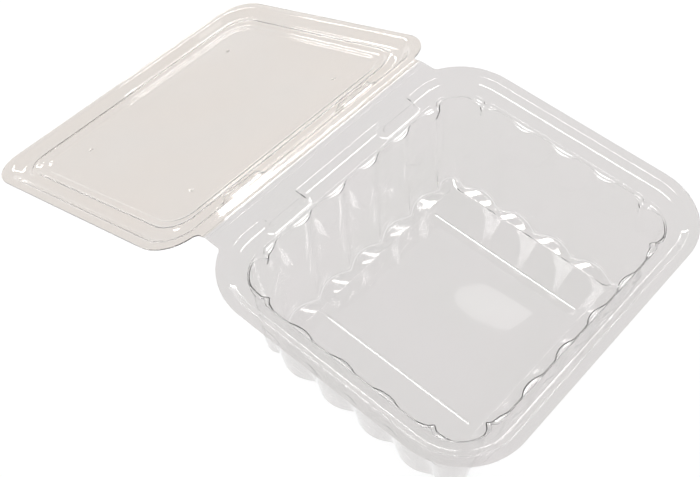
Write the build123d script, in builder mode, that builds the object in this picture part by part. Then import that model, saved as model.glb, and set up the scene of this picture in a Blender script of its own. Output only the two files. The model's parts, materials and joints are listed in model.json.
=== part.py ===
from build123d import *

import os
from math import asin, atan2, cos, degrees, hypot, pi, sin, sqrt

# A hinged clamshell pack, thermoformed in one go from a sheet of clear plastic and shown open.
# Millimetres, +Z up. z = 0 is the table, the hinge runs along X, the deep tray is at -Y and the
# shallow lid, folded back past flat until its far edge meets the table, is at +Y. The origin is
# the middle of the open pack's footprint.

# The sheet, and the rim that both halves share
sheet = 0.6
rim_width = 210.0  # along the hinge
rim_depth = 177.0  # from the hinge to the front
rim_height = 69.0  # top of the tray's flange above the table
tray_corner = 37.0
lid_corner = 20.6
flange = 5.0  # flat land round the rim
tight_corner = 4.0  # bend left where an outline is further in than the rim's own corner radius

# Section of the tray, from the flange inwards and down
bead_run = 4.0
bead_drop = 3.4
ledge_run = 6.5
ledge_drop = 3.0
riser_run = 0.3
riser_drop = 1.2

# The fluted wall: wide lobes with narrow ribs between them, under crescent shelves
flute_count = 22  # a lobe at the middle of the back and front, a rib at the middle of each end
rib_share = 0.4  # of a flute's length, and of its depth; the lobe has the rest
rib_depth = 4.0  # how far a rib stands in from the lobes beside it
shelf_land = 0.3
wall_lean = 5.5  # how far the wall comes in between the shelf and the foot
foot_land = 2.0  # least width of the foot, at a rib

# The bottom inside the foot: a flank up to the floor, and a raised panel in its middle
floor_lift = 4.4  # underside of the floor above the table
flank_run = 7.0
panel_width = 92.4
panel_depth = 104.0
panel_slope = 6.0
panel_rise = 1.3

# Small lugs that widen the ledge at both ends of every corner's bend and keep stacked packs apart
lug_width = 4.2
lug_reach = 2.4

# Section of the lid, from its flange inwards; open, its dome hangs below the flange
dome_run = 4.5
dome_drop = 3.8
gutter_run = 4.0
ridge_width = 4.1
ridge_rise = 1.5
ridge_slope = 1.0
band_run = 4.4
step_run = 0.5
step_drop = 0.5

# The hinge: a flat web between the flanges that folds along its middle
hinge_reach = 6.9  # from each flange's edge to the fold
web_width = 168.0
web_notch = 4.0  # radius in which each end of the web meets a flange
score_from_fold = 2.8
score_width = 0.7
score_depth = 0.25
closed_gap = 0.3  # between the flanges when the pack is shut
fold_gap = 0.3  # from the fold to each half of the web
table_gap = 0.1  # under the lowest edge of the open lid

# Pads beside the hinge, where the bead and the lid's dome edge are filled out to the flange's level
pad_width = 25.0
pad_spacing = 88.0
pad_reach = 5.6  # inwards from the flange
pad_depth = 8.0  # deeper than the bead, so each pad's walls reach down to the sheet beside it

# Levels and insets that the sizes above lead to
ledge_inset = flange + bead_run + ledge_run
ledge_level = rim_height - bead_drop - ledge_drop
shelf_inset = ledge_inset + riser_run
shelf_level = ledge_level - riser_drop
foot_inset = shelf_inset + shelf_land + wall_lean
flank_inset = foot_inset + rib_depth + foot_land
floor_level = floor_lift + sheet

# Stations of a section are (inset from the rim, level of the upper surface, depth of the ribs)
tray_section = [
    (0, rim_height, 0),
    (flange, rim_height, 0),
    (flange + bead_run, rim_height - bead_drop, 0),
    (ledge_inset, ledge_level, 0),
    (shelf_inset, shelf_level, 0),
    (shelf_inset + shelf_land, shelf_level, rib_depth),
    (foot_inset, sheet, rib_depth),
    (flank_inset, sheet, 0),
    (flank_inset + flank_run, floor_level, 0),
    (rim_depth / 2, floor_level, 0),
]

# The lid's levels are measured from its own plane through the fold, which lies half the closed
# gap above its flange
lid_top = -closed_gap / 2
gutter_level = lid_top - dome_drop
ridge_inset = flange + dome_run + gutter_run
band_inset = ridge_inset + ridge_width
step_inset = band_inset + band_run
panel_level = gutter_level - step_drop
lid_section = [
    (0, lid_top, 0),
    (flange, lid_top, 0),
    (flange + dome_run, gutter_level, 0),
    (ridge_inset, gutter_level, 0),
    (ridge_inset + ridge_slope, gutter_level + ridge_rise, 0),
    (band_inset - ridge_slope, gutter_level + ridge_rise, 0),
    (band_inset, gutter_level, 0),
    (step_inset, gutter_level, 0),
    (step_inset + step_run, panel_level, 0),
    (rim_depth / 2, panel_level, 0),
]


def underside(section):
    """The same section one sheet lower: each corner moves along the bisector of its two runs."""
    normals = []
    for (inset, level, _), (next_inset, next_level, _) in zip(section, section[1:]):
        length = hypot(next_inset - inset, next_level - level)
        normals.append(((next_level - level) / length, (inset - next_inset) / length))
    moved = []
    for station, before, after in zip(section, normals[:1] + normals, normals + normals[-1:]):
        across = (before[0] + after[0]) / 2
        down = (before[1] + after[1]) / 2
        reach = sheet / (across**2 + down**2)
        moved.append((station[0] + across * reach, station[1] + down * reach, station[2]))
    return moved


tray_under = underside(tray_section)
lid_under = underside(lid_section)

# The open lid droops until the lowest of its lower corners is at the table gap
fold_height = rim_height + closed_gap / 2
droop = min(
    asin((fold_height - table_gap) / hypot(hinge_reach + rim_depth - inset, level))
    - atan2(-level, hinge_reach + rim_depth - inset)
    for inset, level, _ in lid_under[:-1]
)

# The two halves' planes: both are centred on their half, with the hinge at +Y of the tray and
# at -Y of the lid
lid_centre = hinge_reach + rim_depth / 2
open_length = rim_depth + hinge_reach + (hinge_reach + rim_depth) * cos(droop) + lid_top * sin(droop)
tray_y = (rim_depth - open_length) / 2
fold_y = tray_y + rim_depth / 2 + hinge_reach
tray_plane = Plane(origin=(0, tray_y, 0))
lid_plane = Plane(
    origin=(0, fold_y + lid_centre * cos(droop), fold_height - lid_centre * sin(droop)),
    x_dir=(1, 0, 0),
    z_dir=(0, sin(droop), cos(droop)),
)


def fluted_points(inset, rib):
    """Four points per flute round a rounded rectangle: lobe, rib's edge, rib's crest, rib's edge.

    A point's place is measured along the outline of the foot, from the middle of the back, and
    carried square to it to the inset asked for, so the ribs run straight up the wall. A rib takes
    up the same share of a flute's length and of its depth, so that arcs through the points meet
    without a kink.
    """
    straight_x = rim_width / 2 - tray_corner
    straight_y = rim_depth / 2 - tray_corner
    foot_corner = tray_corner - foot_inset
    quarter = straight_x + foot_corner * pi / 2 + straight_y
    turns = (0, (1 - rib_share) / 2, 1 / 2, (1 + rib_share) / 2)
    depths = (0, 1 - rib_share, 1, 1 - rib_share)
    points = []
    for i in range(4 * flute_count):
        shift = inset + rib * depths[i % 4]
        corner = max(tray_corner - shift, tight_corner)
        half_x = rim_width / 2 - shift
        half_y = rim_depth / 2 - shift
        turn, along = divmod(4 * quarter * (i // 4 + turns[i % 4]) / flute_count, quarter)
        if turn % 2:
            along = quarter - along
        from_side = quarter - along
        if along < straight_x:
            x, y = along * (half_x - corner) / straight_x, half_y
        elif from_side < straight_y:
            x, y = half_x, from_side * (half_y - corner) / straight_y
        else:
            angle = (along - straight_x) / foot_corner
            x = half_x - corner + corner * sin(angle)
            y = half_y - corner + corner * cos(angle)
        points.append((x if turn < 2 else -x, y if turn in (0, 3) else -y))
    return points


def loft_through(section, plane, corner, mode=Mode.ADD):
    """Straight-sided loft through the outlines at the section's stations, within the current part.

    Where a station has ribs, each flute is two arcs: one round its lobe and one over its rib.
    """
    outlines = []
    for inset, level, rib in section:
        with BuildSketch(plane.offset(level)) as outline:
            if rib:
                points = fluted_points(inset, rib)
                with BuildLine():
                    for i in range(0, len(points), 4):
                        ThreePointArc(points[i - 1], points[i], points[i + 1])
                        ThreePointArc(points[i + 1], points[i + 2], points[i + 3])
                make_face()
            else:
                bend = max(corner - inset, tight_corner)
                RectangleRounded(rim_width - 2 * inset, rim_depth - 2 * inset, bend)
        outlines.append(outline.sketch)
    loft(outlines, ruled=True, mode=mode)


def flange_outline(corner):
    """The rim with its half of the hinge web at +Y, whose ends run into the rim in round notches."""
    notch_x = web_width / 2 + web_notch
    bend_x = min(rim_width / 2 - corner, notch_x)
    bend_y = rim_depth / 2 - corner
    notch_y = bend_y + sqrt((corner + web_notch) ** 2 - (notch_x - bend_x) ** 2)
    with BuildSketch() as outline:
        RectangleRounded(rim_width, rim_depth, corner)
        with Locations((0, bend_y)):
            web_end = rim_depth / 2 + hinge_reach - fold_gap
            Rectangle(web_width, web_end - bend_y, align=(Align.CENTER, Align.MIN))
        with BuildLine():
            Polyline((-bend_x, bend_y), (-notch_x, notch_y), (notch_x, notch_y), (bend_x, bend_y), close=True)
        make_face()
        with Locations((-notch_x, notch_y), (notch_x, notch_y)):
            Circle(web_notch, mode=Mode.SUBTRACT)
    return outline.sketch


# The lugs stand where the outline under the ledge goes over from a side to a corner's bend
lug_places = [
    (side_x * x, side_y * y)
    for side_x in (-1, 1)
    for side_y in (-1, 1)
    for x, y in (
        (rim_width / 2 - shelf_inset, rim_depth / 2 - tray_corner),
        (rim_width / 2 - tray_corner, rim_depth / 2 - shelf_inset),
    )
]


def lugs(thickness, level):
    """Blocks cut from the current part: the lugs, thickness smaller, from the given level down."""
    for x, y in lug_places:
        along_back = abs(x) < rim_width / 2 - shelf_inset
        size_x = lug_width if along_back else 2 * lug_reach
        size_y = 2 * lug_reach if along_back else lug_width
        with Locations(tray_plane * Pos(x, y, level)):
            Box(size_x - 2 * thickness, size_y - 2 * thickness, riser_drop,
                align=(Align.CENTER, Align.CENTER, Align.MAX), mode=Mode.SUBTRACT)


def pads(plane, y, level, thickness):
    """Blocks cut from the current part: the pads at both sides of the flange's edge at y."""
    with Locations(plane * Pos(0, y, level - pad_depth / 2)):
        with GridLocations(pad_spacing, 0, 2, 1):
            Box(pad_width - 2 * thickness, 2 * (pad_reach - thickness), pad_depth, mode=Mode.SUBTRACT)


# Room above the tray's rim and ledge, less the hinge pads and the lugs
with BuildPart() as rim_room:
    loft_through(tray_section[1:5], tray_plane, tray_corner)
    pads(tray_plane, rim_depth / 2 - flange, rim_height, 0)
    lugs(0, ledge_level)

# Room inside the fluted wall and over the floor
with BuildPart() as wall_room:
    loft_through(tray_section[5:7], tray_plane, tray_corner)
    loft_through(tray_section[7:9], tray_plane, tray_corner, Mode.SUBTRACT)

# The fluted wall, the foot and the floor, up to the underside of the shelf
with BuildPart() as fluted_wall:
    loft_through(tray_under[5:7], tray_plane, tray_corner)
    add(wall_room.part, mode=Mode.SUBTRACT)
    loft_through(tray_under[7:9], tray_plane, tray_corner, Mode.SUBTRACT)

with BuildPart() as base_tray:
    with BuildSketch(tray_plane.offset(rim_height)):
        add(flange_outline(tray_corner))
    extrude(amount=-sheet)
    loft_through(tray_under[1:5], tray_plane, tray_corner)
    add(rim_room.part, mode=Mode.SUBTRACT)
    add(wall_room.part, mode=Mode.SUBTRACT)
    add(fluted_wall.part)
    # Pads and lugs are hollow below, like everything formed from one sheet
    pads(tray_plane, rim_depth / 2 - flange, rim_height - sheet, sheet)
    lugs(sheet, ledge_level - sheet)
    # The raised panel in the floor, and its hollow
    for level, mode in ((floor_level, Mode.ADD), (floor_lift, Mode.SUBTRACT)):
        with BuildSketch(tray_plane.offset(level)) as panel_foot:
            RectangleRounded(panel_width, panel_depth, tight_corner)
        with BuildSketch(tray_plane.offset(level + panel_rise)) as panel_top:
            RectangleRounded(panel_width - 2 * panel_slope, panel_depth - 2 * panel_slope, tight_corner)
        loft([panel_foot.sketch, panel_top.sketch], ruled=True, mode=mode)
    # Score line across the web, beside the fold
    with Locations(tray_plane * Pos(0, rim_depth / 2 + hinge_reach - score_from_fold, rim_height)):
        Box(2 * web_width, score_width, 2 * score_depth, mode=Mode.SUBTRACT)
base_tray.part.label = "base_tray"

# Room inside the lid's dome edge, less the hinge pads
with BuildPart() as dome_room:
    loft_through(lid_section[1:3], lid_plane, lid_corner)
    pads(lid_plane, flange - rim_depth / 2, lid_top, 0)

# Hollow under the lid's ridge
with BuildPart() as ridge_hollow:
    loft_through(lid_under[3:5], lid_plane, lid_corner)
    loft_through(lid_under[5:7], lid_plane, lid_corner, Mode.SUBTRACT)

with BuildPart() as lid:
    with BuildSketch(lid_plane.offset(lid_top)):
        add(flange_outline(lid_corner), rotation=180)
    extrude(amount=-sheet)
    loft_through(lid_under[1:3], lid_plane, lid_corner)
    add(dome_room.part, mode=Mode.SUBTRACT)
    pads(lid_plane, flange - rim_depth / 2, lid_top - sheet, sheet)
    # The ridge round the dome, then the panel inside it, one small step lower
    loft_through(lid_section[3:5], lid_plane, lid_corner)
    loft_through(lid_section[5:7], lid_plane, lid_corner, Mode.SUBTRACT)
    add(ridge_hollow.part, mode=Mode.SUBTRACT)
    loft_through(lid_under[7:9], lid_plane, lid_corner)
    loft_through(lid_section[7:9], lid_plane, lid_corner, Mode.SUBTRACT)
    # Score line across the lid's half of the web
    with Locations(lid_plane * Pos(0, score_from_fold - rim_depth / 2 - hinge_reach, lid_top)):
        Box(2 * web_width, score_width, 2 * score_depth, mode=Mode.SUBTRACT)
lid.part.label = "lid"

os.makedirs("parts", exist_ok=True)
for piece in (base_tray, lid):
    export_step(piece.part, f"parts/{piece.part.label}.step")
print("droop", degrees(droop), "tray_y", tray_y, "fold_y", fold_y, "fold_height", fold_height)
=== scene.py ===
# %% [markdown]
# A clear clamshell pack, open on a table.
#
# The real pack is one sheet of clear plastic, softened by heat and drawn over a mould: a deep
# fluted tray, a shallow lid, and between them a flat web that folds. Nothing is glued or pinned.
# The frame holds the tray and the lid as plain solids with a hinge between them. This script
# dresses them: it builds the same sheet with rounded bends and a plastic that bends light, on the
# frame's outlines and at its places.

# %% The frame
import json
from math import cos, pi, radians, sin, sqrt

import bpy
import numpy as np
from mathutils import Matrix, Vector


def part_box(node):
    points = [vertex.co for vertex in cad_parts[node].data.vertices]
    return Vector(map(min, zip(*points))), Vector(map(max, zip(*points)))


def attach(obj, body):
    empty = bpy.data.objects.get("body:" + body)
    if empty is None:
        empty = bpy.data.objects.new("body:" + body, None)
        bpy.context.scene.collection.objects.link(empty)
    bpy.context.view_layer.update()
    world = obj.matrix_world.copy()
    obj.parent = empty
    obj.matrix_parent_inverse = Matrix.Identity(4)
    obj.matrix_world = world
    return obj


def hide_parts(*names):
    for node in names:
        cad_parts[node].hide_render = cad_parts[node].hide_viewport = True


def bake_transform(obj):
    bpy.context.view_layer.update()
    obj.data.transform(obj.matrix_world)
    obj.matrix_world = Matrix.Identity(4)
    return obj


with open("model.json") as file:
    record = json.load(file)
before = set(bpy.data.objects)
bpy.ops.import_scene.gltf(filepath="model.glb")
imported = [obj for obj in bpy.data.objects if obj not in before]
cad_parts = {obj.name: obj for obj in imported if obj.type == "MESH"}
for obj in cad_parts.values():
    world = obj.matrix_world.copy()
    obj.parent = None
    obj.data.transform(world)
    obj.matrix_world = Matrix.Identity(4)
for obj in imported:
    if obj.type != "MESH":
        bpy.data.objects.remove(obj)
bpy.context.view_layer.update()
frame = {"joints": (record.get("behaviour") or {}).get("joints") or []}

# %% [markdown]
# Sizes come before shapes. What the frame can tell is read from it: the tray's box gives the
# rim's width and height, and the hinge gives the fold and how far the open lid droops past flat.
# The rest are the pack's own sizes in millimetres, as a mould maker would write them.

# %% Sizes of the pack
mm = 0.001
tray_low, tray_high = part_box("base_tray")
hinge = frame["joints"][0]
fold = np.array(hinge["pos_m"]) / mm
droop = radians(hinge["range_deg"][1] - 180)

sheet = 0.6
rim_width = (tray_high.x - tray_low.x) / mm
rim_height = tray_high.z / mm
rim_depth = 177.0
tray_y = tray_low.y / mm + rim_depth / 2
flange = 5.0
tray_corner = 37.0
lid_corner = 20.6
tight_corner = 4.0
print("fold at", fold.round(3), "droop in degrees", round(float(np.degrees(droop)), 2))

# %% [markdown]
# The web between the halves belongs half to the tray and half to the lid, so that each half can
# swing with its own body. Both stop just short of the fold, where a narrow strip bends for them. A
# shallow score in each, beside the fold, makes the sheet bend there and nowhere else.

# %% Sizes of the web
hinge_reach = fold[1] - tray_y - rim_depth / 2
lid_centre = hinge_reach + rim_depth / 2
lid_top = rim_height - fold[2]
web_width = 168.0
web_notch = 4.0
strip_half = 1.0
seam = 0.02
web_edge = lid_centre - strip_half - seam
score_place = lid_centre - 2.8
score_depth = 0.2
score_width = 0.3
print("the web reaches", round(float(hinge_reach), 2), "mm from each rim to the fold")

# %% [markdown]
# Both halves are one idea: a section carried round a rounded rectangle. They could be lofted with
# curves and bevels, but then flutes, lugs and the web would be patches on top. Here a vertex is
# known by two numbers, its place on the way round and its ring of the section, so a half is one
# grid and numpy works it out at once.
#
# First, the way round. Places are measured along one quarter of the outline and mirrored three
# times, with more of them where something small happens: at the ends of the web, at the sides of
# the hinge pads and at the lugs in the corners.

# %% Places on the way round
least_spacing = 0.3
pad_sides = np.array([31.2, 31.5, 32.2, 32.9, 55.1, 55.8, 56.5, 56.8]) - 0.3
notch_start = np.linspace(83.6, 84, 3)
fine_steps = np.array([-2.8, -2.1, -1.4, -0.8, -0.3, 0.3, 0.8, 1.4, 2.1, 2.8])


def way_round(corner, bend, count, close_x, tighten):
    """Places all round the rim, and what each place means for a rounded rectangle.

    A place is a distance from the middle of the back, on an outline whose corners have the radius
    bend. close_x are further x positions on the rim, and the fine steps are further places on both
    sides of where a straight side turns into a corner. tighten is how much of an inset the
    corner's radius loses.
    """
    straight_x = rim_width / 2 - corner
    straight_y = rim_depth / 2 - corner
    quarter = straight_x + bend * pi / 2 + straight_y
    into_bend = bend * np.arcsin(np.clip((close_x - straight_x) / corner, 0, 1))
    close = np.minimum(close_x, straight_x) + into_bend
    turns = np.array([straight_x, straight_x + bend * pi / 2])
    close = np.concatenate([close, (turns[:, None] + fine_steps).ravel()])
    even = np.linspace(0, quarter, count)
    lonely = np.abs(even[:, None] - close).min(1) > least_spacing
    first = np.unique(np.concatenate([even[lonely], close, [0, quarter]]).round(4))
    half = np.concatenate([first, 2 * quarter - first[-2:0:-1]])
    places = np.concatenate([half, half + 2 * quarter])
    turn, along = np.divmod(places, quarter)
    along = np.where(turn % 2 == 1, quarter - along, along)
    return {
        "corner": corner,
        "tighten": tighten,
        "places": places,
        "quarter": quarter,
        "turns": turns,
        "along": along,
        "right": np.where(turn < 2, 1.0, -1.0),
        "back": np.where((turn == 0) | (turn == 3), 1.0, -1.0),
        "share_x": np.minimum(along / straight_x, 1),
        "share_y": np.minimum((quarter - along) / straight_y, 1),
        "angle": np.clip((along - straight_x) / bend, 0, pi / 2),
    }


tray_notch = np.concatenate([notch_start, np.linspace(84.03, 86.2, 11)])
foot_corner = tray_corner - 21.6
tray_way = way_round(tray_corner, foot_corner, 80, np.concatenate([pad_sides, tray_notch]), 1.0)
lid_notch = np.concatenate([notch_start, np.linspace(84.03, 87.6, 12)])
lid_way = way_round(lid_corner, lid_corner, 88, np.concatenate([pad_sides, lid_notch]), 0.3)
print("places round the tray", len(tray_way["places"]), "and the lid", len(lid_way["places"]))

# %% [markdown]
# A place alone is no point yet. For a given inset, the rim's outline moves inwards and its corners
# get tighter, by all of the inset on the tray and by less on the lid, whose inner corners stay
# round.

# %% Outlines
def rounded_rectangle(way, half_x, half_y, corner):
    """x = (half_x - corner) * share + corner * sin(angle), and y the same with the cosine."""
    x = (half_x - corner) * way["share_x"] + corner * np.sin(way["angle"])
    y = (half_y - corner) * way["share_y"] + corner * np.cos(way["angle"])
    return way["right"] * x, way["back"] * y


def outline(way, shift):
    """The rim's outline moved inwards by shift, its corners getting tighter by a part of it."""
    corner = np.maximum(way["corner"] - way["tighten"] * shift, tight_corner)
    return rounded_rectangle(way, rim_width / 2 - shift, rim_depth / 2 - shift, corner)


print("the tray's rim is", round(float(np.ptp(outline(tray_way, 0.0)[0])), 2), "mm wide")

# %% [markdown]
# Next, the section. A mould maker draws it as straight runs between levels, and heated plastic
# rounds every corner of it, because it can't be stretched into a sharp one. A bevel on the finished
# mesh would round the flutes too, so the corners are rounded in the section itself: each becomes a
# short curve that leaves one run and joins the next without a kink.

# %% Rounding a section
def rounded_section(stations, bend, steps=4):
    """Rows of (inset, level, rib, fall) through the stations, each corner a quadratic Bezier curve.

    The curve starts and ends bend away from the corner, or 0.45 of the shorter run if that is
    less: (1 - t)^2 * start + 2t(1 - t) * corner + t^2 * end. One more row close to each of its
    ends, 0.08 of the reach away, keeps the shading of the straight runs flat.
    """
    corners = np.array(stations, float)
    runs = np.diff(corners, axis=0)
    lengths = np.hypot(runs[:, 0], runs[:, 1])
    reach = np.minimum(bend, 0.45 * np.minimum(lengths[:-1], lengths[1:]))
    middle = corners[1:-1]
    start = middle - runs[:-1] * (reach / lengths[:-1])[:, None]
    end = middle + runs[1:] * (reach / lengths[1:])[:, None]
    t = np.linspace(0, 1, steps)[None, :, None]
    curves = (1 - t) ** 2 * start[:, None] + 2 * t * (1 - t) * middle[:, None] + t**2 * end[:, None]
    before = (start + (start - middle) * 0.08)[:, None]
    after = (end + (end - middle) * 0.08)[:, None]
    guarded = np.concatenate([before, curves, after], axis=1)
    return np.vstack([corners[:1], guarded.reshape(-1, 4), corners[-1:]])


def with_insets(section, insets):
    """The same section with more rows, at those insets."""
    every = np.union1d(section[:, 0].round(5), insets)
    order = np.argsort(section[:, 0], kind="stable")
    known = section[order]
    columns = [np.interp(every, known[:, 0], column) for column in known.T[1:]]
    return np.column_stack([every, *columns])


one_corner = rounded_section([(0, 0, 0, 0), (5, 0, 0, 0), (5, 5, 0, 0)], 0.8)
print("one corner of a section becomes", len(one_corner) - 2, "rows")

# %% [markdown]
# The tray's section falls from the flat flange over a bead and a sloping ledge to a small riser.
# Below it the fluted wall leans in down to the foot that the tray stands on, and from the foot a
# flank rises to the floor. Each station also says how far a rib stands in there and by how much its
# top falls: ribs begin as crescents under the ledge, thin out down the wall where the sheet was
# stretched most, and are deepest at the foot.

# %% The tray's section
foot_level = 0.6
floor_level = 5.0
tray_stations = [
    # inset, level, rib, fall
    (sheet, rim_height, 0, 0),
    (flange, rim_height, 0, 0),
    (9, rim_height - 3.4, 0, 0),
    (15.5, rim_height - 6.4, 0, 0),
    (15.8, rim_height - 7.6, 0, 0),
    (16.1, rim_height - 7.6, 2.6, 1.55),
    (17.0, rim_height - 16, 2.0, 0),
    (19.6, 25, 1.6, 0),
    (22.0, foot_level, 4.6, 0),
    (24.4, foot_level, 4.6, 0),
    (34.9, floor_level, 0, 0),
    (36.0, floor_level, 0, 0),
]
pad_rows = np.array([7, 10, 10.6, 11, 11.4, 11.8, 12.2])
wall_rows = np.concatenate([np.linspace(17.6, 21.4, 6), np.linspace(25.5, 33.8, 6)])
tray_section = rounded_section(tray_stations, 0.8)
tray_section = with_insets(tray_section, np.concatenate([pad_rows, wall_rows]))
print("rings in the tray's section", len(tray_section))

# %% [markdown]
# The flutes are what stiffens such a thin wall. A sine wave would give corrugated iron. On the real
# wall every rib changes on its way down, so its outline is mixed from three waves, by level.

# %% The ribs
flutes = 22
crescent_width = 0.6
crescent_levels = (50, 60)
foot_levels = (6, 20)
scallop_round = 0.1


def rib_wave(way, level):
    """How much of its depth a rib stands in: 1 at its middle and 0 between two ribs.

    With offset, the distance from the rib's middle as a part of one flute, the wave is a crescent
    under the ledge, 1 - (2 * offset / width) ** 2, a soft swell on the wall,
    ((1 + cos(turn)) / 2) ** 1.5, and a scallop at the foot, (1 - 2 * offset) ** 2 with its sharp
    tip rounded: broad lobes between narrow ribs.
    """
    flute = flutes * way["places"] / (4 * way["quarter"])
    offset = np.abs(flute % 1 - 0.5)
    crescent = np.clip(1 - (2 * offset / crescent_width) ** 2, 0, 1)
    swell = ((1 + np.cos(2 * pi * offset)) / 2) ** 1.5
    tip = np.sqrt(4 * offset**2 + scallop_round**2)
    scallop = ((1 - tip) / (1 - scallop_round)) ** 2
    top = np.interp(level, crescent_levels, (0, 1))
    foot = np.interp(level, foot_levels, (1, 0))
    return top * crescent + foot * scallop + (1 - top - foot) * swell


inset, level, rib, fall = tray_section.T[:, :, None]
wave = rib_wave(tray_way, level)
print("a rib stands in by up to", round(float((rib * wave).max()), 2), "mm")

# %% [markdown]
# Eight small lugs, one at each end of each corner's bend, widen the ledge, so that stacked packs
# don't wedge together. They are bumps of the same skin, so they are added to the inset: a bell
# curve along the way round that fades out below.

# %% The lugs
lug_depth = 2.4
lug_half_width = 1.7
lug_foot = 51
lug_top = rim_height - 7.0
lug_start = 14.5


def lug_bump(way, inset, level):
    """depth * exp(-(distance / half width) ** 2), faded by level below and by inset outside."""
    distance = np.abs(way["along"][:, None] - way["turns"]).min(1)
    bump = lug_depth * np.exp(-((distance / lug_half_width) ** 2))
    fade = np.clip((level - lug_foot) / (lug_top - lug_foot), 0, 1)
    return bump * (fade * np.clip(inset - lug_start, 0, 1))


lugs = lug_bump(tray_way, inset, level)
print("a lug stands in by up to", round(float(lugs.max()), 2), "mm")

# %% [markdown]
# The web is like an apron on the back of each rim. Its rings stand at fixed shares of its reach,
# between the flange and the apron's edge, and most of them gather at the score. The ends of the web
# run straight out from the rim and meet it in a round notch, so that the sheet doesn't tear there.

# %% The web
web_shares = np.concatenate([[1, 0.9], np.linspace(0.8, 0.65, 7), [0.4, 0]])


def web_reach(way, x, y):
    """How far the apron stands out behind the rim's edge (x, y), at each place.

    Inside the web's width it reaches the line y = web_edge. Beside it, it follows a notch of radius
    web_notch that touches both the web's straight end and the rim's corner.
    """
    notch_x = web_width / 2 + web_notch
    bend_x = min(rim_width / 2 - way["corner"], notch_x)
    bend_y = rim_depth / 2 - way["corner"]
    between = way["corner"] + web_notch
    notch_y = bend_y + sqrt(between**2 - (notch_x - bend_x) ** 2)
    touch_x = bend_x + (notch_x - bend_x) * way["corner"] / between
    beside = np.clip(notch_x - np.abs(x), 0, web_notch)
    in_notch = notch_y - np.sqrt(web_notch**2 - beside**2) - y
    inside = np.abs(x) <= web_width / 2
    reach = np.where(inside, web_edge - y, np.where(np.abs(x) < touch_x, in_notch, 0))
    return np.where(way["back"] > 0, np.maximum(reach, 0), 0)


def web_rings(way, x, y, level):
    """Rings from the apron's edge to the flange's first ring (x, y), with the score along the fold.

    A ring is share * edge + (1 - share) * first ring, and the score is a groove of
    depth * exp(-(distance / width) ** 2).
    """
    rim_x, rim_y = outline(way, 0.0)
    edge_y = rim_y + web_reach(way, rim_x, rim_y)
    share = web_shares[:, None]
    web_x = share * rim_x + (1 - share) * x
    web_y = share * edge_y + (1 - share) * y
    groove = np.exp(-(((web_y - score_place) / score_width) ** 2)) * (share > 0)
    return np.stack([web_x, web_y, level - score_depth * groove], -1)


print("the web has", len(web_shares), "rings")

# %% [markdown]
# Each half has two flat pads beside the fold, which come to lie face to face when the pack is shut.
# They fill the falling bead up to the flange's level. The web's rings, the pads and the section then
# make one grid per half.

# %% One half as a grid
pad_width = 25.0
pad_spacing = 88.0
pad_end = 10.6
pad_slope = 3
pad_skirt = 2


def filled_pads(way, x, inset, level, top):
    """The level, raised on the pads to top - slope * distance outside the pad's rectangle."""
    beside = np.abs(np.abs(x) - pad_spacing / 2) - pad_width / 2
    outside = np.maximum(np.maximum(beside, inset - pad_end), 0)
    on_pad = (way["back"] > 0) & (inset >= flange) & (outside < pad_skirt)
    return np.where(on_pad, np.maximum(level, top - pad_slope * outside), level)


def half_grid(way, inset, level, shift, drop):
    """Rings of points (x, y, level): the web's rings, then the section's, from the rim inwards.

    Each point of the section stands in from the rim by shift, which is its inset and whatever ribs
    and lugs add, and lies by drop below its level.
    """
    top = level[0, 0]
    x, y = outline(way, shift)
    level = filled_pads(way, x, inset, level - drop, top)
    web = web_rings(way, x[0], y[0], top)
    return np.concatenate([web, np.stack([x, y, level], -1)[1:]])


tray_grid = half_grid(tray_way, inset, level, inset + rib * wave + lugs, fall * wave)
print("the tray's wall is a grid of", tray_grid.shape[:2])

# %% [markdown]
# The floor has a low flat panel that stiffens the bottom. Its left and right edges are fine beads
# that catch the light as bright lines. The rings go on as plain rounded rectangles, so the floor
# needs no seam.

# %% The tray's floor panel
def panel_rings(way, rows, level, corner):
    """Rings round the middle: rounded rectangles of (half width, half depth, rise, bead).

    The bead is added on the left and right sides only: bead * sin(angle) ** 6.
    """
    rings = []
    for half_x, half_y, rise, bead in rows:
        x, y = rounded_rectangle(way, half_x, half_y, min(corner, 0.5 * half_x))
        rings.append(np.stack([x, y, level + rise + bead * np.sin(way["angle"]) ** 6], -1))
    return np.stack(rings)


panel_rows = [
    # half width, half depth, rise, bead
    (47.7, 52.3, 0, 0),
    (47.6, 52.25, 0, 0.02),
    (46.8, 52.2, 0, 0.48),
    (46.7, 52.15, 0.01, 0.5),
    (46.5, 52.1, 0.02, 0.5),
    (46.35, 52.05, 0.03, 0.48),
    (46.25, 52.0, 0.03, 0.44),
    (46.15, 51.95, 0.03, 0.39),
    (45.65, 51.75, 0.05, 0.125),
    (45.55, 51.7, 0.05, 0.075),
    (45.45, 51.6, 0.06, 0.04),
    (45.3, 51.5, 0.08, 0),
    (40.8, 46.5, 1.18, 0),
    (39.6, 45.4, 1.3, 0),
    (26, 30, 1.3, 0),
    (12, 14, 1.3, 0),
    (2, 2.4, 1.3, 0),
]
floor_rings = panel_rings(tray_way, panel_rows, floor_level, tight_corner)
tray_grid = np.concatenate([tray_grid, floor_rings])
tray_grid[..., 1] += tray_y
print("with its floor the tray is a grid of", tray_grid.shape[:2])

# %% [markdown]
# A sheet has two faces. A Solidify modifier would thicken it, but clear plastic shows every fold
# inside a tight bend, so the second face is worked out here: the first one moved by the sheet's
# thickness along its own normals. A strip of faces round the rim closes the two into one skin.

# %% Meshes
sharp_bend = radians(50)


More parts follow.
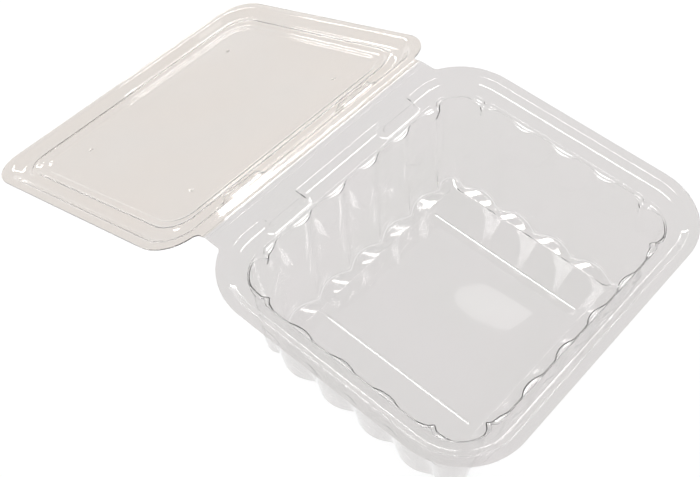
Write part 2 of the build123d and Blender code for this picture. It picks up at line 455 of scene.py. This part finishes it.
def new_piece(name, points, faces):
    """An object at the origin with these points in millimetres, smooth but for its sharp edges."""
    mesh = bpy.data.meshes.new(name)
    mesh.from_pydata((points * mm).tolist(), [], faces)
    mesh.shade_smooth()
    mesh.set_sharp_from_angle(angle=sharp_bend)
    piece = bpy.data.objects.new(name, mesh)
    bpy.context.scene.collection.objects.link(piece)
    print(name, len(points), "vertices", sum(len(face) - 2 for face in faces), "triangles")
    return piece


def vertex_normals(grid):
    """Unit normals: each vertex has the mean of the unit normals of the faces round it."""
    across = np.roll(grid, -1, axis=1)
    faces = np.cross(grid[1:] - across[:-1], across[1:] - grid[:-1])
    faces /= np.maximum(np.linalg.norm(faces, axis=-1, keepdims=True), 1e-12)
    faces = faces + np.roll(faces, 1, axis=1)
    total = np.zeros_like(grid)
    total[:-1] += faces
    total[1:] += faces
    return total / np.linalg.norm(total, axis=-1, keepdims=True)


def closed_sheet(name, upper):
    """A closed mesh from a grid of rings: both faces in quads, the rim, and a fan at the middle.

    The lower face is the upper one less the sheet's thickness times its normals.
    """
    lower = upper - sheet * vertex_normals(upper)
    rings, count, _ = upper.shape
    top = np.arange(rings * count).reshape(rings, count)
    beside = np.roll(top, -1, axis=1)
    low, low_beside = top + top.size, beside + top.size
    hub = 2 * top.size
    faces = [
        np.stack([top[:-1], top[1:], beside[1:], beside[:-1]], -1).reshape(-1, 4),
        np.stack([low[:-1], low_beside[:-1], low_beside[1:], low[1:]], -1).reshape(-1, 4),
        np.stack([top[0], beside[0], low_beside[0], low[0]], -1),
        np.stack([top[-1], np.full(count, hub), beside[-1]], -1),
        np.stack([low[-1], low_beside[-1], np.full(count, hub + 1)], -1),
    ]
    centres = np.array([upper[-1].mean(0), lower[-1].mean(0)])
    points = np.concatenate([upper.reshape(-1, 3), lower.reshape(-1, 3), centres])
    return new_piece(name, points, [face for group in faces for face in group.tolist()])


print("a sheet", sheet, "mm thick, shaded sharp past", round(float(np.degrees(sharp_bend))), "degrees")

# %% [markdown]
# The tray is the first piece. It rides on the frame's tray body and stands for the frame's plain tray,
# which is hidden.

# %% The tray
tray_sheet = closed_sheet("tray_sheet", tray_grid)
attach(tray_sheet, "tray")
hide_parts("base_tray")

# %% [markdown]
# The lid. Open, its dome hangs below its flange: a quick fall, a gutter, a ridge that grips the
# tray's bead when the pack is shut, and a flat panel one small step lower. It has no flutes and no
# lugs, so its rings stand in by their insets alone. It is drawn much less deep than the tray, and
# like the real one it has softer bends and rounder inner corners, softer than the frame's as well.

# %% The lid's grid
gutter_level = lid_top - 3.8
ridge_level = lid_top - 2.3
lid_panel = lid_top - 4.3
lid_panel_corner = 13.0
lid_stations = [
    # inset, level, rib, fall
    (sheet, lid_top, 0, 0),
    (flange, lid_top, 0, 0),
    (9.5, gutter_level, 0, 0),
    (12.9, gutter_level, 0, 0),
    (14.8, ridge_level, 0, 0),
    (16.3, ridge_level, 0, 0),
    (18.2, gutter_level, 0, 0),
    (21.6, gutter_level, 0, 0),
    (22.9, lid_panel, 0, 0),
    (24, lid_panel, 0, 0),
]
lid_section = rounded_section(lid_stations, 1.3)
lid_section = with_insets(lid_section, np.array([7, 10.2, 10.6, 11, 11.4, 11.8]))
lid_inset, lid_level = lid_section.T[:2, :, None]
lid_grid = half_grid(lid_way, lid_inset, lid_level, shift=lid_inset, drop=0)
lid_rows = [(79, 62.5, 0, 0), (50, 40, 0, 0), (2, 1.6, 0, 0)]
lid_grid = np.concatenate([lid_grid, panel_rings(lid_way, lid_rows, lid_panel, lid_panel_corner)])
lid_grid[..., :2] *= -1
print("the lid is a grid of", lid_grid.shape[:2])

# %% [markdown]
# The lid was worked out flat, with its hinge towards -y. Its points are turned about the fold by
# the droop before they go into the mesh. Turning the object instead would be undone by the export,
# which puts every object at the origin.

# %% The lid
def from_lid_plane(points):
    """From the lid's own plane to the pack: y and level turned about the fold by the droop."""
    x, y, level = points[..., 0], points[..., 1] + lid_centre, points[..., 2]
    behind = fold[1] + y * cos(droop) + level * sin(droop)
    up = fold[2] - y * sin(droop) + level * cos(droop)
    return np.stack([x, behind, up], -1)


lid_sheet = closed_sheet("lid_sheet", from_lid_plane(lid_grid))
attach(lid_sheet, "lid")
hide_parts("lid")

# %% [markdown]
# Four pips stand on the lid's panel, small enough to look like specks. On the real lid they are
# pressed into the sheet. In a grid as coarse as the panel's they would need hundreds of extra
# quads, so each is a small solid cap that sits in the panel, as clear as the panel itself.

# %% The pips
pip_x = 56.7
pip_y = 49
pip_radius = 1.5
pip_rise = 0.8
pip_sink = 0.1 * pip_rise
pip_sides = 16
pip_rings = 5


def pip_cap(name, x, y):
    """A solid cap: rise * (1 - share ** 2) high at each share of its radius, its flat side sunk."""
    turns = np.linspace(0, 2 * pi, pip_sides, endpoint=False)
    share = np.linspace(1, 0.2, pip_rings)[:, None]
    across = pip_radius * share
    height = np.broadcast_to(lid_panel + pip_rise * (1 - share**2), (pip_rings, pip_sides))
    dome = np.stack([x + across * np.cos(turns), y + across * np.sin(turns), height], -1)
    base = dome[:1] - [0, 0, pip_sink]
    ends = np.array([[x, y, lid_panel + pip_rise], [x, y, lid_panel - pip_sink]])
    points = np.vstack([np.concatenate([base, dome]).reshape(-1, 3), ends])
    tip = (pip_rings + 1) * pip_sides
    ring = np.arange(tip).reshape(pip_rings + 1, pip_sides)
    beside = np.roll(ring, -1, axis=1)
    faces = [
        np.stack([ring[:-1], beside[:-1], beside[1:], ring[1:]], -1).reshape(-1, 4),
        np.stack([ring[-1], beside[-1], np.full(pip_sides, tip)], -1),
        np.stack([beside[0], ring[0], np.full(pip_sides, tip + 1)], -1),
    ]
    return new_piece(name, from_lid_plane(points), [face for group in faces for face in group.tolist()])


pip_places = [(-1, -1), (1, -1), (1, 1), (-1, 1)]
pips = []
for number, (side, far) in enumerate(pip_places, start=1):
    pip = pip_cap(f"lid_pip_{number}", pip_x * side, pip_y * far)
    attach(pip, "lid")
    pips.append(pip)

# %% [markdown]
# The fold itself is a strip two millimetres wide that joins the two halves of the web. It is the
# one place where the sheet really bends when the lid swings, so it is a piece of its own.

# %% The fold
strip_steps = 9
strip_columns = 57


def fold_strip():
    """A curve between the two halves of the web, offset by the sheet and carried along the fold.

    The upper line is a quadratic Bezier curve whose corner is where the two upper faces meet.
    """
    corner = np.array([fold[1] + lid_top * np.tan(droop / 2), rim_height])
    start = corner - [strip_half, 0]
    end = corner + np.array([cos(droop), -sin(droop)]) * strip_half
    t = np.linspace(0, 1, strip_steps)[:, None]
    upper = (1 - t) ** 2 * start + 2 * t * (1 - t) * corner + t**2 * end
    slope = np.gradient(upper, axis=0)
    slope /= np.linalg.norm(slope, axis=1, keepdims=True)
    lower = upper + sheet * np.column_stack([slope[:, 1], -slope[:, 0]])
    loop = np.concatenate([upper, lower[::-1]])
    columns = np.linspace(-web_width / 2, web_width / 2, strip_columns)
    x = np.repeat(columns, len(loop))
    yz = np.tile(loop, (strip_columns, 1))
    ring = np.arange(len(x)).reshape(strip_columns, -1)
    beside = np.roll(ring, -1, axis=1)
    sides = np.stack([ring[:-1], ring[1:], beside[1:], beside[:-1]], -1).reshape(-1, 4)
    ends = [ring[0].tolist(), ring[-1][::-1].tolist()]
    return new_piece("hinge_strip", np.column_stack([x, yz]), sides.tolist() + ends)


hinge_strip = fold_strip()

# %% [markdown]
# No formed sheet is even. It has faint ripples from cooling against the mould, it is a little
# rougher in places, and its colour drifts slightly. The tray and the lid share these effects but
# not their colours, so they are one node group with the colours as inputs.

# %% The formed skin
def link(tree, start, end):
    """Joins two sockets in a node tree."""
    tree.links.new(start, end)


def add_noise(nodes, scale, detail):
    """A noise texture with this scale and detail."""
    noise = nodes.new("ShaderNodeTexNoise")
    noise.inputs["Scale"].default_value = scale
    noise.inputs["Detail"].default_value = detail
    return noise


def skin_group():
    """Noise at two scales on Object coordinates.

    The slow one mixes the two colours, and the slow one plus 0.08 of the fine one is the height.
    The fine one also sets the roughness.
    """
    group = bpy.data.node_groups.new("formed_skin", "ShaderNodeTree")
    for name, way, kind in [
        ("Tint", "INPUT", "NodeSocketColor"),
        ("Drift", "INPUT", "NodeSocketColor"),
        ("Color", "OUTPUT", "NodeSocketColor"),
        ("Height", "OUTPUT", "NodeSocketFloat"),
        ("Roughness", "OUTPUT", "NodeSocketFloat"),
    ]:
        group.interface.new_socket(name, in_out=way, socket_type=kind)
    nodes = group.nodes
    inside = nodes.new("NodeGroupInput")
    outside = nodes.new("NodeGroupOutput")
    place = nodes.new("ShaderNodeTexCoord")
    slow = add_noise(nodes, 22, 1)
    fine = add_noise(nodes, 160, 2)
    drift = nodes.new("ShaderNodeMix")
    drift.data_type = "RGBA"
    height = nodes.new("ShaderNodeMath")
    height.operation = "MULTIPLY_ADD"
    height.inputs[1].default_value = 0.08
    rough = nodes.new("ShaderNodeMapRange")
    for socket, value in {"From Min": 0.35, "From Max": 0.7, "To Min": 0.02, "To Max": 0.07}.items():
        rough.inputs[socket].default_value = value
    link(group, place.outputs["Object"], slow.inputs["Vector"])
    link(group, place.outputs["Object"], fine.inputs["Vector"])
    link(group, slow.outputs["Fac"], drift.inputs["Factor"])
    link(group, inside.outputs["Tint"], drift.inputs["A"])
    link(group, inside.outputs["Drift"], drift.inputs["B"])
    link(group, drift.outputs["Result"], outside.inputs["Color"])
    link(group, fine.outputs["Fac"], height.inputs[0])
    link(group, slow.outputs["Fac"], height.inputs[2])
    link(group, height.outputs["Value"], outside.inputs["Height"])
    link(group, fine.outputs["Fac"], rough.inputs["Value"])
    link(group, rough.outputs["Result"], outside.inputs["Roughness"])
    return group


formed_skin = skin_group()
print(formed_skin.name, "has", len(formed_skin.nodes), "nodes")

# %% [markdown]
# Clear plastic has hardly any colour of its own. What shows it is what it does to the light behind
# it and above it: it bends what comes through its curves, mirrors the lamps on its bends, and dims
# a white table a little. Glass shading does all that, with three changes.
#
# A coat carries the strong mirroring of real plastic, while the body bends light less than real
# plastic does, because a thin sheet hardly moves what is behind it. Glass also throws hard dark
# shadows, so for shadow rays and diffuse rays the sheet is a filter that lets nearly all through.
# And what lies behind looks equally grey through one sheet or through several, so only the first
# sheet that a ray goes through tints it, and the ones behind it are nearly clear.

# %% Plastic
ripple = 0.4 * mm
body_ior = 1.15
coat_ior = 1.5
coat_roughness = 0.03
lamp_filter = (0.985, 0.985, 0.985, 1)
nearly_clear = (0.97, 0.97, 0.97, 1)
past_first_sheet = 1.5  # a ray has gone through both faces of one sheet by then


def plastic_body(tree):
    """The glass that is seen: clear, with a glossy coat."""
    body = tree.nodes.new("ShaderNodeBsdfPrincipled")
    body.inputs["Transmission Weight"].default_value = 1
    body.inputs["IOR"].default_value = body_ior
    body.inputs["Coat Weight"].default_value = 1
    body.inputs["Coat IOR"].default_value = coat_ior
    body.inputs["Coat Roughness"].default_value = coat_roughness
    return body


def clear_plastic(name, tint, drift):
    """Glass that dims what is behind it to the tint, with a filter for lamp and sky light."""
    material = bpy.data.materials.new(name)
    material.use_nodes = True
    tree = material.node_tree
    tree.nodes.clear()
    skin = tree.nodes.new("ShaderNodeGroup")
    skin.node_tree = formed_skin
    skin.inputs["Tint"].default_value = (*tint, 1)
    skin.inputs["Drift"].default_value = (*drift, 1)
    bump = tree.nodes.new("ShaderNodeBump")
    bump.inputs["Strength"].default_value = 1
    bump.inputs["Distance"].default_value = ripple
    body = plastic_body(tree)
    through = tree.nodes.new("ShaderNodeBsdfTransparent")
    through.inputs["Color"].default_value = lamp_filter
    ray = tree.nodes.new("ShaderNodeLightPath")
    deeper = tree.nodes.new("ShaderNodeMath")
    deeper.operation = "GREATER_THAN"
    deeper.inputs[1].default_value = past_first_sheet
    tone = tree.nodes.new("ShaderNodeMix")
    tone.data_type = "RGBA"
    tone.inputs["B"].default_value = nearly_clear
    lamp_ray = tree.nodes.new("ShaderNodeMath")
    lamp_ray.operation = "MAXIMUM"
    mix = tree.nodes.new("ShaderNodeMixShader")
    out = tree.nodes.new("ShaderNodeOutputMaterial")
    link(tree, ray.outputs["Transmission Depth"], deeper.inputs[0])
    link(tree, deeper.outputs["Value"], tone.inputs["Factor"])
    link(tree, skin.outputs["Color"], tone.inputs["A"])
    link(tree, tone.outputs["Result"], body.inputs["Base Color"])
    link(tree, skin.outputs["Roughness"], body.inputs["Roughness"])
    link(tree, skin.outputs["Height"], bump.inputs["Height"])
    link(tree, bump.outputs["Normal"], body.inputs["Normal"])
    link(tree, ray.outputs["Is Shadow Ray"], lamp_ray.inputs[0])
    link(tree, ray.outputs["Is Diffuse Ray"], lamp_ray.inputs[1])
    link(tree, lamp_ray.outputs["Value"], mix.inputs["Fac"])
    link(tree, body.outputs["BSDF"], mix.inputs[1])
    link(tree, through.outputs["BSDF"], mix.inputs[2])
    link(tree, mix.outputs["Shader"], out.inputs["Surface"])
    return material


print("refraction of the body", body_ior, "and of its coat", coat_ior)

# %% [markdown]
# The lid looks a little warmer than the tray, so each has a plastic of its own. The strip at the
# fold takes the tray's.

# %% The plastic on the pieces
tray_plastic = clear_plastic("tray_plastic", tint=(0.72, 0.69, 0.69), drift=(0.69, 0.68, 0.665))
lid_plastic = clear_plastic("lid_plastic", tint=(0.755, 0.695, 0.645), drift=(0.745, 0.705, 0.67))
for piece in [tray_sheet, hinge_strip]:
    piece.data.materials.append(tray_plastic)
for piece in [lid_sheet, *pips]:
    piece.data.materials.append(lid_plastic)
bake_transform(hinge_strip)
print("plastics:", tray_plastic.name, lid_plastic.name)

# %% [markdown]
# The studio: a pale floor that keeps the pack's faint shadow and a white surround. Both are
# brighter for rays that end in the picture, straight, mirrored or through the plastic, than for
# rays that only carry light to the pack. So the background is white and the pack isn't washed out.

# %% Floor and surround
floor_half = 3.0
floor_color = (0.9, 0.9, 0.9, 1)
floor_lift = 0.22
sky_light = 0.68
sky_seen = 1.0


def seen_ray(tree):
    """1 for rays that end in the picture: the largest of camera, glossy and transmission ray."""
    ray = tree.nodes.new("ShaderNodeLightPath")
    seen = ray.outputs["Is Camera Ray"]
    for kind in ("Is Glossy Ray", "Is Transmission Ray"):
        largest = tree.nodes.new("ShaderNodeMath")
        largest.operation = "MAXIMUM"
        link(tree, seen, largest.inputs[0])
        link(tree, ray.outputs[kind], largest.inputs[1])
        seen = largest.outputs["Value"]
    return seen


def floor_paper():
    """Diffuse paper, lifted by a little emission where it is seen."""
    material = bpy.data.materials.new("floor_paper")
    material.use_nodes = True
    tree = material.node_tree
    tree.nodes.clear()
    paper = tree.nodes.new("ShaderNodeBsdfDiffuse")
    paper.inputs["Color"].default_value = floor_color
    lift = tree.nodes.new("ShaderNodeEmission")
    lift.inputs["Color"].default_value = (1, 1, 1, 1)
    scale = tree.nodes.new("ShaderNodeMath")
    scale.operation = "MULTIPLY"
    scale.inputs[1].default_value = floor_lift
    total = tree.nodes.new("ShaderNodeAddShader")
    out = tree.nodes.new("ShaderNodeOutputMaterial")
    link(tree, seen_ray(tree), scale.inputs[0])
    link(tree, scale.outputs["Value"], lift.inputs["Strength"])
    link(tree, paper.outputs["BSDF"], total.inputs[0])
    link(tree, lift.outputs["Emission"], total.inputs[1])
    link(tree, total.outputs["Shader"], out.inputs["Surface"])
    return material


def floor():
    """A flat pale sheet far wider than the pack."""
    mesh = bpy.data.meshes.new("floor")
    corners = [(x * floor_half, y * floor_half, 0) for x, y in [(-1, -1), (1, -1), (1, 1), (-1, 1)]]
    mesh.from_pydata(corners, [], [(0, 1, 2, 3)])
    mesh.materials.append(floor_paper())
    ground = bpy.data.objects.new("floor", mesh)
    bpy.context.scene.collection.objects.link(ground)
    return ground


def surround():
    """The world: white where it is seen, and an even grey sky for the light it gives."""
    world = bpy.data.worlds.new("studio")
    world.use_nodes = True
    tree = world.node_tree
    tree.nodes.clear()
    sky = tree.nodes.new("ShaderNodeBackground")
    strength = tree.nodes.new("ShaderNodeMapRange")
    strength.inputs["To Min"].default_value = sky_light
    strength.inputs["To Max"].default_value = sky_seen
    out = tree.nodes.new("ShaderNodeOutputWorld")
    link(tree, seen_ray(tree), strength.inputs["Value"])
    link(tree, strength.outputs["Result"], sky.inputs["Strength"])
    link(tree, sky.outputs["Background"], out.inputs["Surface"])
    bpy.context.scene.world = world


ground = floor()
surround()
print("floor", 2 * floor_half, "m wide")

# %% [markdown]
# A clear thing is drawn by what it mirrors. Each lamp is narrow and stands where some of the
# rounded bends mirror it and the flat runs beside them mostly don't, so that bends show as fine
# white lines. Two strips hang high on either side, and the cards stand low behind the pack. The
# side strip also draws the beads of the floor panel, and the small window, an ellipse, gives the
# pale patch on the tray's floor.

# %% Lamps
def soft_lamp(name, place, aim, size, power):
    """An area lamp that faces the point it is aimed at. size is across it, then up it."""
    data = bpy.data.lights.new(name, "AREA")
    data.shape = "RECTANGLE"
    data.size, data.size_y = size
    data.energy = power
    lamp = bpy.data.objects.new(name, data)
    lamp.location = place
    lamp.rotation_euler = (Vector(aim) - Vector(place)).to_track_quat("-Z", "Y").to_euler()
    bpy.context.scene.collection.objects.link(lamp)
    print(name, power, "W")
    return lamp


tray_foot = (0, -0.09, 0)
soft_lamp("front_strip", place=(0.64, -0.64, 1.0), aim=(0.64, -0.09, 0), size=(0.6, 0.18), power=3.2)
soft_lamp("side_strip", place=(-0.31, 0.27, 1.0), aim=(0, 0.27, 0), size=(0.6, 0.16), power=2.9)
soft_lamp("back_card", place=(0.80, 1.07, 0.405), aim=tray_foot, size=(0.75, 0.05), power=1.6)
soft_lamp("far_card", place=(0.62, 1.10, 0.53), aim=tray_foot, size=(0.3, 0.06), power=0.6)
soft_lamp("right_card", place=(1.32, 0.42, 0.09), aim=(0, -0.09, 0.05), size=(0.6, 0.14), power=3.7)
window = soft_lamp("window", place=(0.63, 0.205, 1.0), aim=(0.63, 0.205, 0), size=(0.08, 0.15), power=0.03)
window.data.shape = "ELLIPSE"
window.rotation_euler.z += 0.39

# %% [markdown]
# The camera stands where the photographer stood: in front of the tray and to its left, looking
# down. Its place and angles come from matching the rim's corners in the picture.

# %% Camera
camera_place = (-0.29081, -0.26541, 0.51048)
turn, tilt, roll = radians(-49.347), radians(52.79), radians(1.172)
right = Vector((cos(turn), sin(turn), 0))
back = Vector((sin(turn) * cos(tilt), -cos(turn) * cos(tilt), sin(tilt)))
up = back.cross(right)
level_right = right * cos(roll) + up * sin(roll)
level_up = up * cos(roll) - right * sin(roll)
camera = bpy.data.objects.new("camera", bpy.data.cameras.new("camera"))
camera.data.lens = 57.72
camera.data.sensor_width = 36
turned = Matrix((level_right, level_up, back)).transposed().to_4x4()
camera.matrix_world = Matrix.Translation(camera_place) @ turned
bpy.context.scene.collection.objects.link(camera)
bpy.context.scene.camera = camera
bpy.context.scene.view_settings.view_transform = "Standard"
print("camera at", [round(v, 3) for v in camera.matrix_world.translation])
